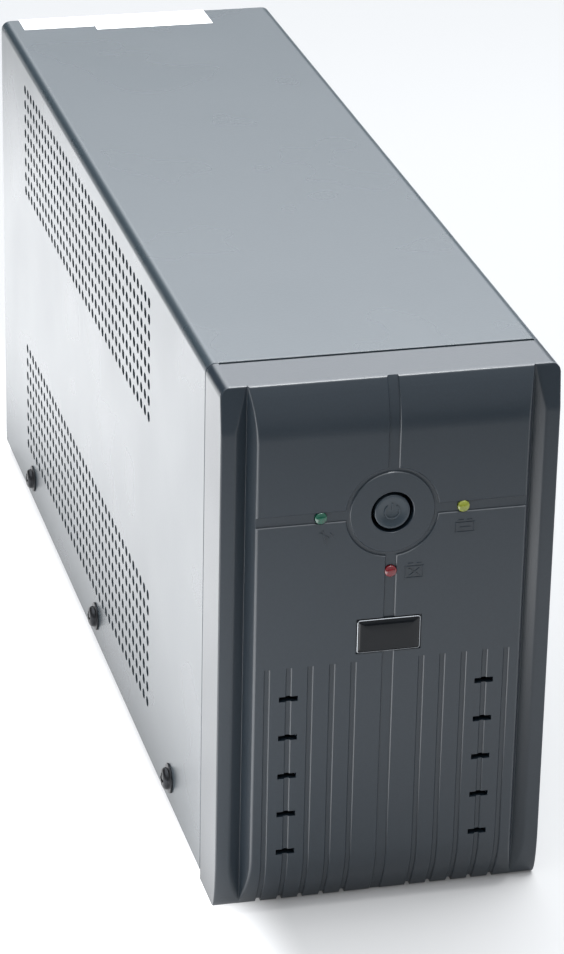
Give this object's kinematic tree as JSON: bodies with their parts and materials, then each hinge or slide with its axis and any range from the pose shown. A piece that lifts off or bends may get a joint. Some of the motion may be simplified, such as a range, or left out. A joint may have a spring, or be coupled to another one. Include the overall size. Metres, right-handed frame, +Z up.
{
  "type": "uninterruptible power supply",
  "caption": "Narrow tower uninterruptible power supply with a steel cover, a moulded ribbed front, a push button, lamps and rear power sockets.",
  "frame": {"origin": "middle of the footprint, on the ground under the feet", "axes": "+Z up, +Y from the front bezel to the rear panel, +X to the right seen from the front"},
  "size_m": [0.1006, 0.339, 0.1605],
  "materials": {
    "case_paint": "satin",
    "zinc_sheet": "satin",
    "bezel_plastic": "satin",
    "badge": "gloss",
    "black_plastic": "satin",
    "battery_plastic": "matte",
    "ivory_plastic": "satin",
    "rubber": "matte",
    "black_steel": "satin",
    "circuit_board": "satin",
    "brass": "satin",
    "spring_steel": "satin",
    "core_iron": "matte",
    "winding": "satin",
    "aluminium": "satin",
    "label_paper": "matte",
    "lead_red": "satin",
    "lead_black": "satin",
    "fuse_glass": "gloss",
    "lens_green": "gloss",
    "lens_yellow": "gloss",
    "lens_red": "gloss"
  },
  "bodies": {
    "unit": {"badge_plate": "badge", "base_tray": "zinc_sheet", "battery_bracket": "zinc_sheet", "battery_case": "battery_plastic", "battery_lead_black": "lead_black", "battery_lead_red": "lead_red", "battery_terminal_negative": "brass", "battery_terminal_positive": "brass", "button_spring": "spring_steel", "buzzer": "black_plastic", "capacitor": "black_plastic", "control_chip": "black_plastic", "cover_screw_left_front": "black_steel", "cover_screw_left_middle": "black_steel", "cover_screw_left_rear": "black_steel", "cover_screw_right_front": "black_steel", "cover_screw_right_middle": "black_steel", "cover_screw_right_rear": "black_steel", "data_jack": "black_plastic", "display_board": "circuit_board", "foot_front_left": "rubber", "foot_front_right": "rubber", "foot_rear_left": "rubber", "foot_rear_right": "rubber", "front_bezel": "bezel_plastic", "heat_sink_left": "aluminium", "heat_sink_right": "aluminium", "inlet_pin_earth": "brass", "inlet_pin_live": "brass", "inlet_pin_neutral": "brass", "led_green": "lens_green", "led_red": "lens_red", "led_yellow": "lens_yellow", "main_board": "circuit_board", "mains_inlet": "black_plastic", "outer_cover": "case_paint", "output_socket_lower_left": "black_plastic", "output_socket_upper_left": "black_plastic", "output_socket_upper_right": "black_plastic", "power_transistor_left": "black_plastic", "power_transistor_right": "black_plastic", "push_switch": "black_plastic", "rear_label_left": "label_paper", "rear_label_right": "label_paper", "rear_panel": "case_paint", "relay_input": "black_plastic", "relay_output": "black_plastic", "standoff_front_left": "brass", "standoff_front_right": "brass", "standoff_rear_left": "brass", "standoff_rear_right": "brass", "transformer_bobbin": "ivory_plastic", "transformer_core": "core_iron", "transformer_frame": "zinc_sheet", "transformer_winding": "winding", "usb_port": "spring_steel"},
    "push_button": {"power_button": "black_plastic", "switch_plunger": "ivory_plastic"},
    "fuse_carrier": {"fuse_drawer": "black_plastic", "fuse_link": "fuse_glass"}
  },
  "joints": [
    {"name": "power_button_press", "type": "slide", "parent": "unit", "child": "push_button", "axis": [0, 1, 0], "range_m": [0, 0.003], "stiffness_N_per_m": 300, "springref_m": -0.002, "deforming": ["button_spring"]},
    {"name": "fuse_drawer_slide", "type": "slide", "parent": "unit", "child": "fuse_carrier", "axis": [0, 1, 0], "range_m": [0, 0.022]}
  ]
}
